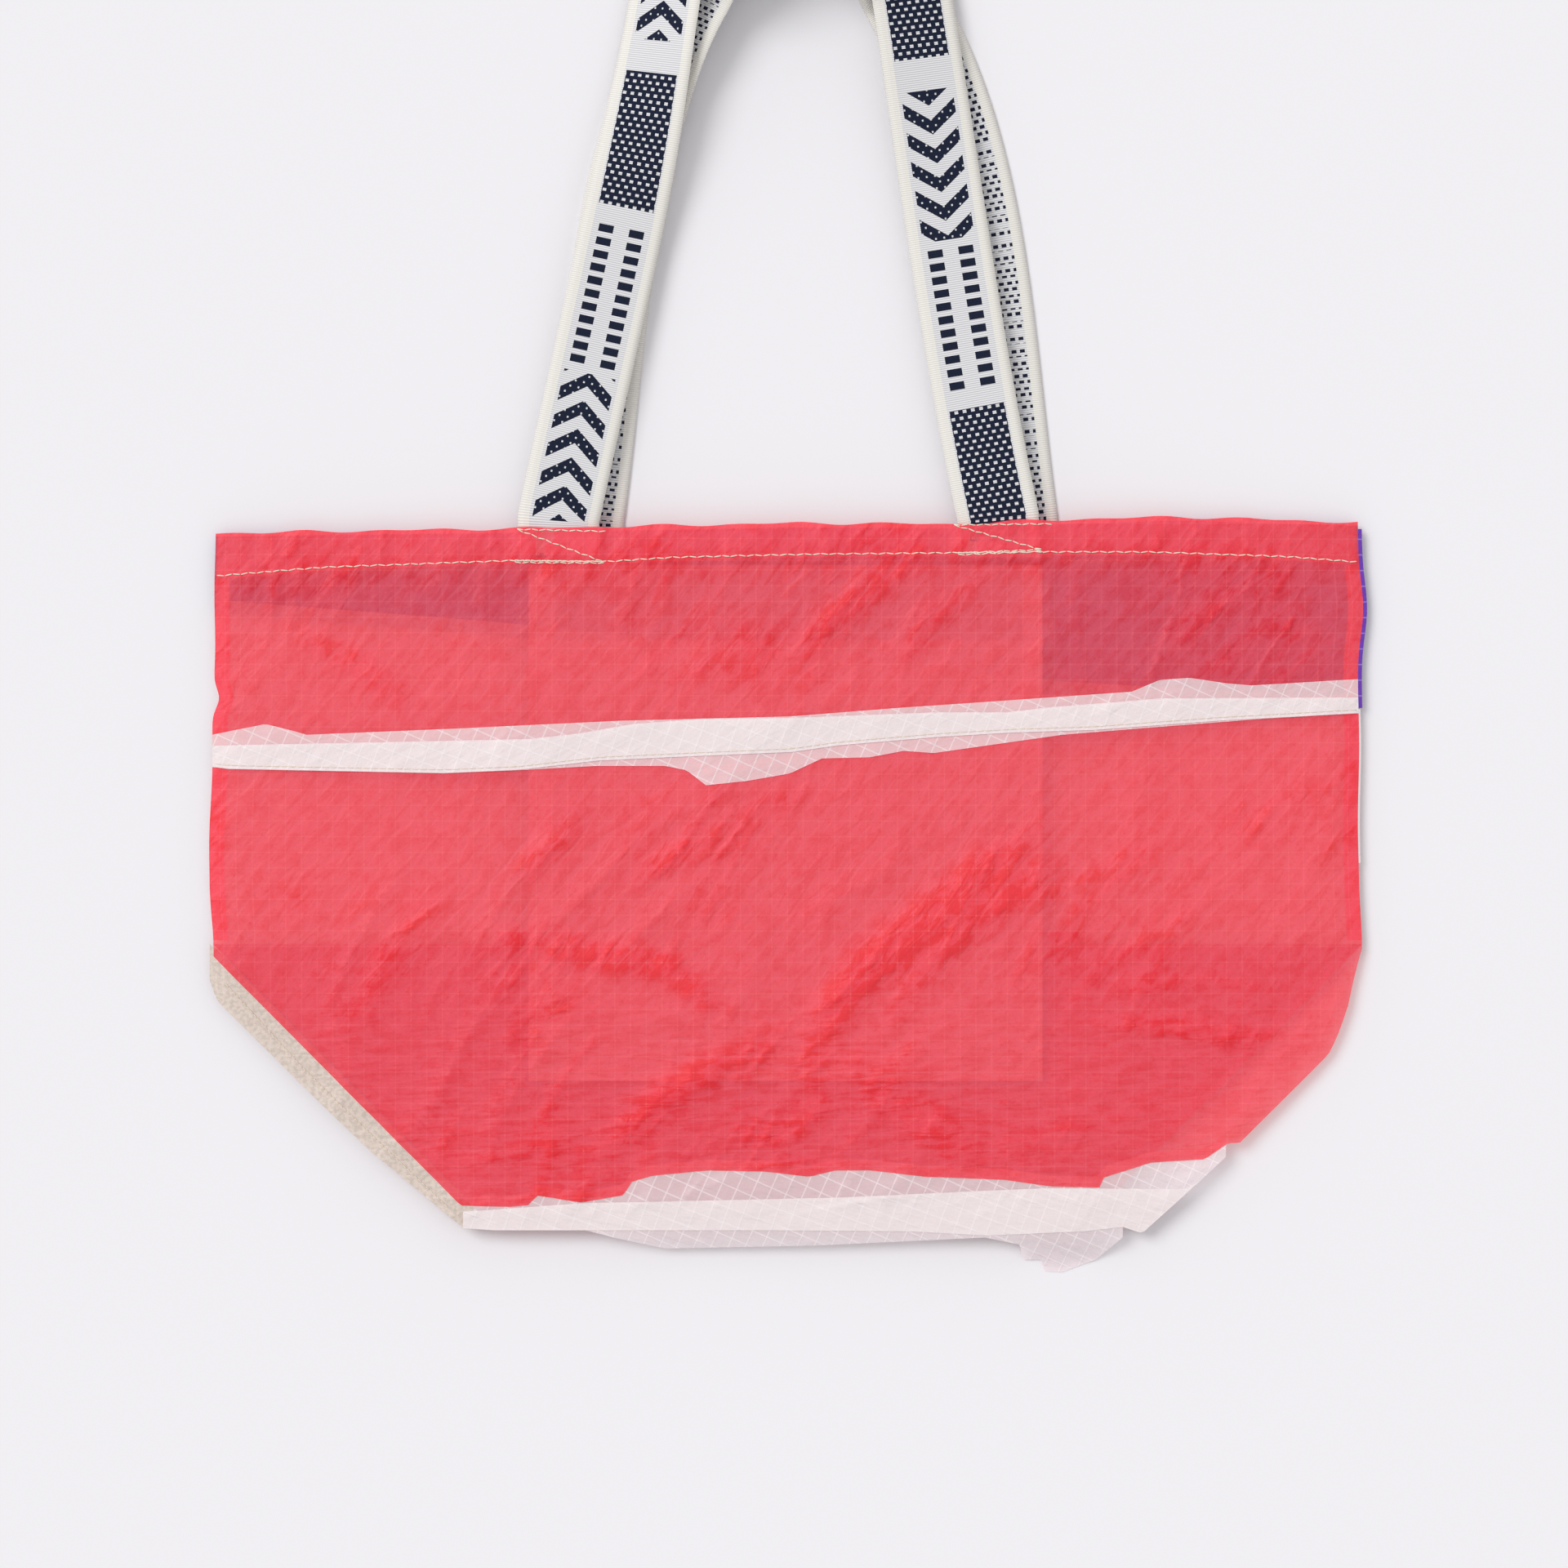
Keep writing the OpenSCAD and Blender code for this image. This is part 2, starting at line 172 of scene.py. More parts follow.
def fold_lines(x, y):
    """The height of the larger folds: round ridges that fade out at both ends."""
    total = np.zeros(np.broadcast(x, y).shape)
    for points, width, height in FOLDS:
        sway = 3.5 * (noise(x / 17, y / 17, len(points) + int(width * 7)) - 0.5)
        best = np.full(total.shape, 1e9)
        place = np.zeros(total.shape)
        for i, ((ax, ay), (bx, by)) in enumerate(zip(points[:-1], points[1:])):
            length = math.hypot(bx - ax, by - ay)
            t = np.clip(((x - ax) * (bx - ax) + (y - ay) * (by - ay)) / length**2, 0, 1)
            far = np.hypot(x - ax - t * (bx - ax), y - ay - t * (by - ay))
            place = np.where(far < best, (i + t) / (len(points) - 1), place)
            best = np.minimum(best, far)
        ends = np.sin(np.pi * np.clip(place, 0.02, 0.98)) ** 0.6
        total = total + height * ends * np.exp(-(((best + sway) / width) ** 2))
    return total


def creases(x, y):
    """Where the cloth is crumpled, from 0 to 1: along the larger folds and in patches between them. The red
    cloth paints it as shade.
    """
    patches = smooth(noise(x / 55, y / 38, 91), 0.5, 0.85) * ridges(x, y, 48, 60, 18, 11)
    hem = 0.35 * np.exp(-(((y - curve(HEM_STITCH)(x) + 4) / 8) ** 2))
    low = 0.5 * smooth(-y, -70, -25) * ridges(x, y, 6, 60, 14, 43)
    return np.clip(fold_lines(x, y) / 2.3 + 0.6 * patches + hem + low, 0, 1)


def strap_bulge(x, y, hem_x):
    """1 over the webbing ends in the hem and 0 beside them."""
    reach = STRAP_W / 2
    over = sum(1 - smooth(np.abs(x - h), reach - 1, reach + 4) for h in hem_x)
    return over * smooth(y, 308, 312)


def front_relief(x, y):
    """How far the front cloth stands above its flat plane, in millimetres."""
    lower = 1 - smooth(y, 60, 150)
    upper = smooth(y, 225, 260)
    rough = 0.3 + creases(x, y)
    relief = 0.45 * fold_lines(x, y)
    relief += 1.2 * ridges(x, y, 52, 80, 34, 11) * (1 - 0.45 * upper)
    relief += rough * 0.7 * ridges(x, y, 55, 30, 8, 23, 2)
    relief += rough * 0.6 * ridges(x, y, 20, 26, 8, 29, 2) * noise(x / 45, y / 45, 7)
    relief += 0.7 * ridges(x, y, -30, 46, 16, 31, 3) * noise(x / 70, y / 70, 6)
    relief += rough * 0.8 * ridges(x, y, 4, 50, 8, 41, 2.5) * lower
    relief += 0.6 * ridges(x, y, 84, 60, 13, 47, 2.5) * upper
    relief += rough * (0.3 * noise(x / 8, y / 5, 53) + 0.15 * noise(x / 5, y / 3, 59))
    stitch = curve(HEM_STITCH)(x)
    gather = np.exp(-(((y - stitch) / 9) ** 2))
    relief += 0.5 * gather * ridges(x, y, 90, 30, 9, 61, 2) - 0.35 * np.exp(-(((y - stitch) / 2.2) ** 2))
    pinch = np.exp(-(((x + 262) / 14) ** 2) - ((y - 250) / 12) ** 2)
    relief += 1.6 * pinch * ridges(x, y, -55, 30, 8, 67, 2)
    edge = smooth(HALF_W - np.abs(x), 0, 14)
    return np.maximum(relief, 0) * edge * smooth(y, -4, 16)


def front_plane(x, y):
    return FRONT_Z - RISE * np.clip(np.abs(x) - FOLD_X, 0, FOLD_C) / FOLD_C + 0 * y


def front_z(lift=0.0):
    """The front cloth's surface, or one that lies this far above it.

    Below the crease it droops to the ground.
    """
    above = 0.5 + lift

    def z(x, y):
        bulge = 0.9 * strap_bulge(x, y, HANDLES["front"]["hem_x"])
        edge = smooth(HALF_W - np.abs(x), 0, 2 if above > 0 else 45)
        height = front_plane(x, y) + front_relief(x, y) + bulge + above * edge
        return height * (1 - 0.93 * smooth(-y, 1, 18))

    return z


def back_z(lift=0.0):
    def z(x, y):
        plane = BACK_Z + RISE * np.clip(np.abs(x) - FOLD_X, 0, FOLD_C) / FOLD_C
        relief = 0.7 * ridges(x, y, 60, 80, 30, 71) * smooth(y, 2, 120)
        edge = smooth(HALF_W - np.abs(x), 0, 10)
        return plane + relief * edge + lift * smooth(HALF_W - np.abs(x), 0, 45)

    return z


def base_z(front):
    def z(x, y):
        relief = (0.35 * ridges(x, y, 6, 60, 14, 83 if front else 89)
                  * smooth(y, 0, 40) * smooth(FOLD_C - y, 0, 25))
        relief = relief * smooth(FOLD_X - np.abs(x), 0, 12)
        along = np.clip(y / FOLD_C, 0, 1)
        return FRONT_Z - 0.4 - (RISE - 0.4) * along - relief if front else BACK_Z + RISE * along + relief

    return z


# ---------------------------------------------------------------- building pieces
def new_mesh(name, verts, faces, uvs, material, normals=None, crease=0.0):
    mesh = bpy.data.meshes.new(name)
    mesh.from_pydata([tuple(v) for v in verts], [], faces)
    layer = mesh.uv_layers.new(name="cloth")
    loops = np.empty(len(mesh.loops), int)
    mesh.loops.foreach_get("vertex_index", loops)
    layer.data.foreach_set("uv", np.asarray(uvs, float)[loops].ravel())
    mesh.polygons.foreach_set("use_smooth", [True] * len(mesh.polygons))
    if normals is not None:
        mesh.normals_split_custom_set_from_vertices([tuple(n) for n in normals])
        # The crease attribute is the surface's tilt plus the given crumple. The ripstop material paints it as
        # a deeper colour, which is painted shade on slopes and folds; it also reads it for opacity and bump
        # strength.
        amount = np.minimum(0.9 * np.hypot(normals[:, 0], normals[:, 1]) + crease, 1)
        mesh.attributes.new("crease", "FLOAT", "POINT").data.foreach_set("value", amount)
    mesh.materials.append(material)
    obj = bpy.data.objects.new(name, mesh)
    bpy.context.collection.objects.link(obj)
    return obj


def grid_faces(columns, rows):
    return [
        (i * rows + j, (i + 1) * rows + j, (i + 1) * rows + j + 1, i * rows + j + 1)
        for i in range(columns - 1)
        for j in range(rows - 1)
    ]


def surface_normals(z, x, y):
    """Normals of the height z, worked out from the formula so that two halves match where they meet."""
    e = 0.4
    slope_x = (z(x + e, y) - z(x - e, y)) / (2 * e)
    slope_y = (z(x, y + e) - z(x, y - e)) / (2 * e)
    n = np.stack([-slope_x, -slope_y, np.ones_like(x)], -1).reshape(-1, 3)
    return n / np.linalg.norm(n, axis=1)[:, None]


def side_shift(x, y):
    """The side seams wander a little, the same in the front and the back cloth."""
    left = 2.3 - 3.1 * smooth(y, 130, 300) - 2.8 * np.exp(-(((y - 247) / 6) ** 2)) + 0.3 * np.sin(y / 9)
    right = -1.6 + 1.9 * np.exp(-(((y - 288) / 16) ** 2)) + 0.3 * np.sin(y / 11)
    near = smooth(np.abs(x), HALF_W - 45, HALF_W) * smooth(y, FOLD_C, FOLD_C + 30)
    return near * np.where(x > 0, right, -left)


def cloth(name, material, x_range, low, high, z, step=2.6, cut=None, shade=None):
    """A sheet between two outlines, which are numbers or functions of x, lifted to z(x, y).

    cut is the size of a slanting strip before it was laid, where that isn't the size of its outline.
    shade gives how crumpled the cloth is, which its material paints as a deeper colour: partly the denser
    colour of doubled cloth, partly painted shade.
    """
    columns = max(3, int(round((x_range[1] - x_range[0]) / step)) + 1)
    xs = np.linspace(*x_range, columns)
    lows = low(xs) if callable(low) else np.full(columns, float(low))
    highs = high(xs) if callable(high) else np.full(columns, float(high))
    highs = np.maximum(highs, lows + 0.05)
    rows = max(3, int(round((highs - lows).max() / step)) + 1)
    t = np.linspace(0, 1, rows)
    x = np.repeat(xs[:, None], rows, 1)
    y = lows[:, None] + (highs - lows)[:, None] * t
    verts = to_frame(x + side_shift(x, y), y, z(x, y))
    uvs = np.stack([x, y], -1).reshape(-1, 2) * MM
    crease = 0.0 if shade is None else 0.75 * shade(x, y).ravel()
    obj = new_mesh(name, verts, grid_faces(columns, rows), uvs, material, surface_normals(z, x, y), crease)
    width, length = cut or (x_range[1] - x_range[0], highs.max() - lows.min())
    area = float(np.sum((highs - lows)[1:] + (highs - lows)[:-1])) / 2 * (xs[1] - xs[0])
    obj["flat"] = [width * MM, length * MM, min(area, width * length) * MM * MM]
    return obj


# The least flat width and length, in metres, and the least share of their product for the flat area, that
# finish_sheet works out for a sheet. A sheet may be no narrower than this, in metres, and must fill this
# share of its width times length
LEAST_SIDE = 0.0101
LEAST_SHARE = 0.3


def finish_sheet(obj, replaces=()):
    width, length, area = obj["flat"]
    del obj["flat"]
    width, length = max(width, LEAST_SIDE), max(length, LEAST_SIDE)
    area = max(area, LEAST_SHARE * width * length)
    if replaces:
        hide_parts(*replaces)
    return obj


def across_fold(obj):
    """A half of a sheet that crosses the fold line between a panel and its flank: its placing is baked into
    its mesh.
    """
    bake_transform(obj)
    return obj


SIDES = {"left": (-HALF_W, 0), "right": (0, HALF_W)}


# ---------------------------------------------------------------- materials
class Tree:
    """A short way to write node trees: sockets in, sockets out."""

    def __init__(self, name):
        self.material = bpy.data.materials.new(name)
        self.material.use_nodes = True
        self.nodes = self.material.node_tree.nodes
        self.links = self.material.node_tree.links
        self.nodes.clear()

    def node(self, kind, inputs=(), **settings):
        node = self.nodes.new(kind)
        for key, value in settings.items():
            setattr(node, key, value)
        for key, value in dict(inputs).items():
            if isinstance(value, bpy.types.NodeSocket):
                self.links.new(value, node.inputs[key])
            else:
                node.inputs[key].default_value = value
        return node

    def math(self, operation, a, b=0.0):
        return self.node("ShaderNodeMath", {0: a, 1: b}, operation=operation).outputs[0]

    def ramp(self, value, low, high, a=0.0, b=1.0):
        inputs = {"Value": value, "From Min": low, "From Max": high, "To Min": a, "To Max": b}
        return self.node("ShaderNodeMapRange", inputs, interpolation_type="SMOOTHSTEP").outputs[0]

    def mix(self, factor, a, b):
        node = self.node("ShaderNodeMix", data_type="RGBA")
        for key, value in ((0, factor), (6, a), (7, b)):
            if isinstance(value, bpy.types.NodeSocket):
                self.links.new(value, node.inputs[key])
            else:
                node.inputs[key].default_value = value if key == 0 else (*value, 1)
        return node.outputs[2]

    def noise(self, vector, scale, detail=2.0):
        inputs = {"Vector": vector, "Scale": scale, "Detail": detail}
        return self.node("ShaderNodeTexNoise", inputs).outputs[0]

    def output(self, shader):
        self.links.new(shader, self.node("ShaderNodeOutputMaterial").inputs[0])
        return self.material


def uv_millimetres(tree, degrees=0.0):
    """Cloth coordinates in millimetres, turned by an angle."""
    uv = tree.node("ShaderNodeUVMap", uv_map="cloth").outputs[0]
    turned = tree.node(
        "ShaderNodeMapping",
        {"Vector": uv, "Scale": (1 / MM, 1 / MM, 1 / MM), "Rotation": (0, 0, math.radians(degrees))},
    ).outputs[0]
    split = tree.node("ShaderNodeSeparateXYZ", {0: turned})
    return turned, split.outputs[0], split.outputs[1]


def crinkles(tree, place, degrees, length, width):
    """Fine creases that run one way."""
    turned = tree.node(
        "ShaderNodeMapping",
        {"Vector": place, "Rotation": (0, 0, math.radians(degrees)), "Scale": (length, width, 1)},
        vector_type="TEXTURE",
    ).outputs[0]
    inputs = {"Vector": turned, "Scale": 1, "Detail": 5, "Distortion": 0.5}
    return tree.node("ShaderNodeTexNoise", inputs).outputs[0]


# How far apart the thicker yarns of the ripstop's check lie
YARN_PITCH = 7.3


def ripstop(name, colour, opacity, tint, grid=0.1, turn=0.0, density_and_shade=0.2, mottle=0.0, glow=0.0, lines=0.08):
    """Thin translucent cloth with a check of thicker yarns, deeper in colour along its folds, slopes and
    crinkles: partly the denser colour of doubled cloth, partly painted shade.

    glow is a painted glow, an even red emission that brightens it in place of a fluorescent dye's glow, and
    lines how much paler the thicker yarns are.
    """
    tree = Tree(name)
    place, u, v = uv_millimetres(tree, turn)
    half = YARN_PITCH / 2
    yarns = [tree.ramp(tree.math("PINGPONG", k, half), 0.1, 0.5, 1, 0) for k in (u, v)]
    check = tree.math("MAXIMUM", *yarns)
    knots = tree.math("MULTIPLY", *yarns)
    weave = tree.noise(place, 1.1, 3)
    slanting = crinkles(tree, place, 50, 16, 4.5)
    level = crinkles(tree, place, 3, 18, 3.2)
    lower = tree.ramp(v, 70, 140, 1, 0)
    blend = tree.math("ADD", tree.math("MULTIPLY", level, lower),
                      tree.math("MULTIPLY", slanting, tree.math("SUBTRACT", 1.0, lower)))
    crumple = tree.noise(place, 0.13, 5)
    fine = tree.math("ADD", tree.math("MULTIPLY", blend, 0.6), tree.math("MULTIPLY", crumple, 0.4))
    # The crease attribute (tilt plus crumple) and the crinkle crests below paint shade. The depth mixes the
    # light and the deep colour, a lit and a shaded copy of the cloth colour, partly standing for the denser
    # colour of doubled cloth. crease also thickens the cloth and its crinkles.
    crease = tree.node("ShaderNodeAttribute", attribute_name="crease").outputs[2]
    dark = tree.ramp(fine, 0.44, 0.6)
    depth_and_shade = tree.math("MULTIPLY", crease, tree.math("ADD", tree.math("MULTIPLY", dark, 0.5), 0.75))
    depth_and_shade = tree.math("ADD", depth_and_shade, tree.math("MULTIPLY", dark, 0.3))
    depth_and_shade = tree.math("ADD", depth_and_shade, tree.ramp(tree.noise(place, 0.45, 3), 0.5, 0.72, 0, 0.25))
    light = tuple(min(1, c * (1 + density_and_shade * (1 - c))) for c in colour)
    deep_and_shaded = tuple(c * (1 - density_and_shade * (1.15 - c)) for c in colour)
    # Painted shade: a deeper colour where the depth is high
    paint = tree.mix(tree.math("MINIMUM", depth_and_shade, 1.0), light, deep_and_shaded)
    paint = tree.mix(tree.math("MULTIPLY", check, lines), paint, tuple(min(1, c + 0.25) for c in colour))
    paint = tree.mix(tree.math("MULTIPLY", knots, 0.6), paint, tuple(min(1, c + 0.12) for c in colour))
    if mottle:
        blotch = tree.noise(place, 0.5, 5)
        paint = tree.mix(tree.ramp(blotch, 0.4, 0.64), paint, tuple(c * (1 - mottle) for c in colour))
    fill = tree.math("ADD", opacity, tree.math("MULTIPLY", check, grid))
    fill = tree.math("ADD", fill, tree.math("MULTIPLY", tree.math("SUBTRACT", weave, 0.5), 0.1))
    fill = tree.math("MINIMUM", tree.math("ADD", fill, tree.math("MULTIPLY", crease, 0.2)), 1.0)
    strength = tree.math("ADD", tree.math("MULTIPLY", crease, 1.8), 1.5)
    height = tree.math("ADD", tree.math("MULTIPLY", fine, strength), tree.math("MULTIPLY", check, 0.05))
    height = tree.math("ADD", height, tree.math("MULTIPLY", weave, 0.05))
    bump = tree.node("ShaderNodeBump", {"Height": height, "Strength": 0.7, "Distance": MM}).outputs[0]
    # The emission is a painted glow that brightens the cloth
    body = tree.node(
        "ShaderNodeBsdfPrincipled",
        {"Base Color": paint, "Roughness": 0.45, "Normal": bump, "Specular IOR Level": 0.3,
         "Emission Color": (1.0, 0.02, 0.04, 1), "Emission Strength": glow},
    ).outputs[0]
    clear = tree.node("ShaderNodeBsdfTransparent", {"Color": (*tint, 1)}).outputs[0]
    mixed = tree.node("ShaderNodeMixShader", {0: fill, 1: clear, 2: body}).outputs[0]
    return tree.output(mixed)


def jacquard(name):
    """Webbing with ribbed cream edges and navy chevrons, bars and checks.

    Its wrong face has rows of dashes.
    """
    tree = Tree(name)
    place, u, v = uv_millimetres(tree)
    face = tree.math("GREATER_THAN", u, 60.0)
    across = tree.math("SUBTRACT", u, tree.math("MULTIPLY", face, 100.0))
    middle = tree.math("SUBTRACT", across, STRAP_W / 2)
    off = tree.math("ABSOLUTE", middle)
    field = tree.math("LESS_THAN", off, 13.8)
    row = tree.math("FLOOR", tree.math("DIVIDE", v, 2.9))
    cell = tree.math("FRACT", tree.math("ADD", tree.math("DIVIDE", middle, 3.9),
                                        tree.math("MULTIPLY", row, 0.5)))
    step = tree.math("FRACT", tree.math("DIVIDE", v, 2.9))
    cycle = tree.math("MULTIPLY", tree.math("FRACT", tree.math("DIVIDE", v, 227.5)), 227.5)

    def within(value, low, high):
        return tree.math("MULTIPLY", tree.math("GREATER_THAN", value, low),
                         tree.math("LESS_THAN", value, high))

    def product(*values):
        result = values[0]
        for value in values[1:]:
            result = tree.math("MULTIPLY", result, value)
        return result

    square = product(within(cell, 0.28, 0.72), within(step, 0.25, 0.72))
    dash = product(within(cell, 0.2, 0.8), within(step, 0.2, 0.75))
    pins = product(within(cell, 0.4, 0.6), within(step, 0.35, 0.65))
    arrow = tree.math("FRACT", tree.math("DIVIDE", tree.math("ADD", v, tree.math("MULTIPLY", off, 0.75)),
                                         13.5))
    chevrons = product(tree.math("LESS_THAN", arrow, 0.5), within(cycle, 17.0, 87.0),
                       tree.math("LESS_THAN", off, 12.2))
    rung = tree.math("FRACT", tree.math("DIVIDE", v, 6.2))
    rail = tree.math("LESS_THAN", tree.math("ABSOLUTE", tree.math("SUBTRACT", off, 7.2)), 3.5)
    bar = tree.math("FRACT", tree.math("DIVIDE", tree.math("SUBTRACT", cycle, 91.0), 6.2))
    bars = product(rail, tree.math("LESS_THAN", bar, 0.58), within(cycle, 91.0, 159.0))
    checked = tree.math("MAXIMUM", within(cycle, 166.0, 227.6), tree.math("LESS_THAN", cycle, 2.0))
    solid = tree.math("MAXIMUM", product(chevrons, tree.math("SUBTRACT", 1.0, pins)), bars)
    block = product(checked, tree.math("SUBTRACT", 1.0, square), tree.math("LESS_THAN", off, 13.0))
    right = tree.math("MAXIMUM", solid, block)
    bare = product(tree.math("SUBTRACT", 1.0, checked), tree.math("LESS_THAN", rung, 0.3))
    wrong = product(dash, tree.math("SUBTRACT", 1.0, bare))
    ink = tree.math("ADD", product(right, tree.math("SUBTRACT", 1.0, face)), product(wrong, face))
    ink = product(ink, field)
    ribbed = tree.ramp(tree.math("PINGPONG", v, 0.5), 0.05, 0.45)
    wool = tree.noise(place, 1.6, 3)
    ground = tree.mix(ribbed, (0.56, 0.56, 0.59), (0.86, 0.85, 0.86))
    selvedge = tree.mix(ribbed, (0.74, 0.71, 0.66), (0.90, 0.87, 0.83))
    navy = tree.mix(wool, (0.006, 0.009, 0.022), (0.02, 0.026, 0.055))
    paint = tree.mix(field, selvedge, ground)
    paint = tree.mix(ink, paint, navy)
    height = tree.math("ADD", tree.math("MULTIPLY", ribbed, 0.6), tree.math("MULTIPLY", ink, 0.5))
    bump = tree.node("ShaderNodeBump", {"Height": height, "Strength": 0.5, "Distance": 0.4 * MM}).outputs[0]
    body = tree.node(
        "ShaderNodeBsdfPrincipled",
        {"Base Color": paint, "Roughness": 0.85, "Normal": bump, "Specular IOR Level": 0.1},
    ).outputs[0]
    return tree.output(body)


def plain(name, colour):
    tree = Tree(name)
    place, _, _ = uv_millimetres(tree)
    fibre = tree.noise(place, 2.5, 2)
    paint = tree.mix(fibre, tuple(c * 0.85 for c in colour), colour)
    return tree.output(
        tree.node("ShaderNodeBsdfPrincipled", {"Base Color": paint, "Roughness": 0.7}).outputs[0]
    )


red = ripstop("red_ripstop", (1.0, 0.092, 0.135), 0.56, (1.0, 0.45, 0.42), grid=0.02, density_and_shade=0.55,
              glow=0.075)
# The cloth folded inside the bag, for the base and corners, is the red ripstop painted darker: painted shade
# where it lies under the front cloth.
shaded_tucked = ripstop("shaded_tucked_ripstop", (0.86, 0.10, 0.145), 0.56, (0.92, 0.45, 0.42), grid=0.02, density_and_shade=0.3)
purple = ripstop("purple_ripstop", (0.13, 0.035, 0.40), 0.92, (0.4, 0.25, 0.8), grid=0.0, lines=0.6)
pale = ripstop("pale_ripstop", (0.97, 0.94, 0.94), 0.55, (1.0, 0.98, 0.98), grid=0.06, density_and_shade=0.04)
pocket_cloth = ripstop("pocket_ripstop", (0.98, 0.92, 0.93), 0.5, (1.0, 0.98, 0.98), grid=0.06, density_and_shade=0.04)
white = ripstop("white_ripstop", (1.0, 0.90, 0.91), 0.74, (1.0, 0.96, 0.96), grid=0.08, turn=20, density_and_shade=0.05)
gauze = ripstop("loose_white_ripstop", (0.98, 0.86, 0.89), 0.58, (1.0, 0.97, 0.98), grid=0.18, turn=24,
                density_and_shade=0.05)
beige = ripstop("beige_ripstop", (0.74, 0.62, 0.55), 0.93, (0.9, 0.86, 0.8), grid=0.0, density_and_shade=0.1, mottle=0.15)
webbing = jacquard("webbing")
thread = plain("thread", (0.90, 0.80, 0.66))


# ---------------------------------------------------------------- the front panel
def front_low(x):
    """The lower edge of the red cloth: frayed over the crease and cut at 45 degrees past the corners."""
    edge = np.maximum(curve(RED_LOW)(x), -x - LEFT_CHAMFER)
    return np.maximum(edge, curve(RIGHT_CORNER)(x))


def make_front():
    top, stitch = curve(TOP_EDGE, 0.8), curve(HEM_STITCH)
    seam_under = curve([(x, y + 5) for x, y in TAPE_LOW])
    for side, span in SIDES.items():
        upper = cloth(f"front_cloth_upper_{side}", red, span, seam_under, top, front_z(), step=2.2,
                      shade=creases)
        lower = cloth(f"front_cloth_lower_{side}", red, span, front_low, lambda x: seam_under(x) + 4,
                      front_z(-0.15), step=2.2, shade=creases)
        finish_sheet(upper,
                     [f"front_upper_{side}"] + (["front_upper_centre"] if side == "left" else []))
        finish_sheet(lower,
                     [f"front_lower_{side}"] + (["front_lower_centre"] if side == "left" else []))

        def hem_height(x, y):
            """The hem's inner layer turns in at the top edge and runs under the webbing ends."""
            drop = 0.35 + 1.6 * strap_bulge(x, y, HANDLES["front"]["hem_x"])
            turn = smooth(top(x) - y, 0, 1.2)
            return front_z()(x, y) - drop * np.maximum(turn, strap_bulge(x, y, HANDLES["front"]["hem_x"]))

        hem = cloth(f"front_hem_fold_{side}", red, span, lambda x: stitch(x) - 1.5, top, hem_height, step=1.6)
        finish_sheet(hem,
                     [f"front_hem_{side}"] + (["front_hem_centre"] if side == "left" else []))
        edge = (-HALF_W, -HALF_W + 7) if side == "left" else (HALF_W - 7, HALF_W)
        seam_strip = cloth(f"front_side_seam_{side}", red, edge,
                           lambda x: np.maximum(front_low(x), FOLD_C) + 2, lambda x: stitch(x) - 2,
                           front_z(-0.3), step=2)
        finish_sheet(seam_strip, [f"side_seam_front_{side}"])
        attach(seam_strip, f"front_flank_{side}")
        for piece in (upper, lower, hem):
            across_fold(piece)


def make_middle_tape():
    """A frayed white tape: one loose layer with ragged edges, and a doubled band inside it."""
    for side, span in SIDES.items():
        loose = cloth(f"middle_tape_loose_{side}", gauze, span, curve(TAPE_LOW), curve(TAPE_TOP),
                      front_z(0.25), step=2)
        finish_sheet(loose,
                     [f"front_tape_{side}"] + (["front_tape_centre"] if side == "left" else []))
        across_fold(loose)
        for layer in (1, 2):
            band = cloth(f"middle_tape_band_{side}_{layer}", white, span, curve(BAND_LOW),
                         lambda x: curve(BAND_TOP)(x) - 0.5 * (layer - 1),
                         front_z(0.25 + 0.22 * layer), step=2)
            finish_sheet(band)
            across_fold(band)


def make_bottom_tape():
    """The tape along the crease: a loose layer under the red edge, a doubled band, a frayed lowest layer."""
    spans = {"left": (-151, 0), "right": (0, 204)}
    inner = curve([(x, y + 5) for x, y in RED_LOW])

    def tape_z(lift):
        return lambda x, y: front_z(lift - 0.25)(x, y) - 0.2 * smooth(y, 5, 16)

    for side, span in spans.items():
        loose = cloth(f"bottom_tape_loose_{side}", gauze, span, curve(SWEEP_LOW),
                      lambda x: np.maximum(inner(x), curve(SWEEP_TOP)(x) + 2), tape_z(0), step=2)
        finish_sheet(loose,
                     ["bottom_tape"] if side == "left" else ())
        across_fold(loose)
        for layer in (1, 2):
            band = cloth(f"bottom_tape_band_{side}_{layer}", white, span, curve(SWEEP_LOW),
                         lambda x: curve(SWEEP_TOP)(x) - 0.3 * layer, tape_z(0.1 * layer), step=2)
            finish_sheet(band)
            across_fold(band)
        fray_span = (-96, 0) if side == "left" else (0, 156)
        fray = cloth(f"bottom_tape_fray_{side}", gauze, fray_span, curve(FRAY_LOW),
                     lambda x: curve(SWEEP_LOW)(x) + 5, tape_z(-0.1), step=2)
        finish_sheet(fray)
        across_fold(fray)


def make_corner_tape():
    """The mottled tape that shows past the left corner's fold."""
    strip = cloth("corner_tape_left", beige, (-269.5, -137), curve(STRIP_OUT),
                  lambda x: np.maximum(-x - LEFT_CHAMFER + 4, curve(STRIP_OUT)(x) + 0.1),
                  front_z(-0.42), step=1.6, cut=(16, 182))
    finish_sheet(strip, ["corner_strip_left"])
    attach(strip, "front_flank_left")
    inner = cloth("corner_tape_left_edge", beige, (-267, -146),
                  lambda x: np.maximum(-x - LEFT_CHAMFER - 6, 3), lambda x: -x - LEFT_CHAMFER + 5,
                  front_z(-0.3), step=1.6, cut=(9, 172))
    finish_sheet(inner)
    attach(inner, "front_flank_left")


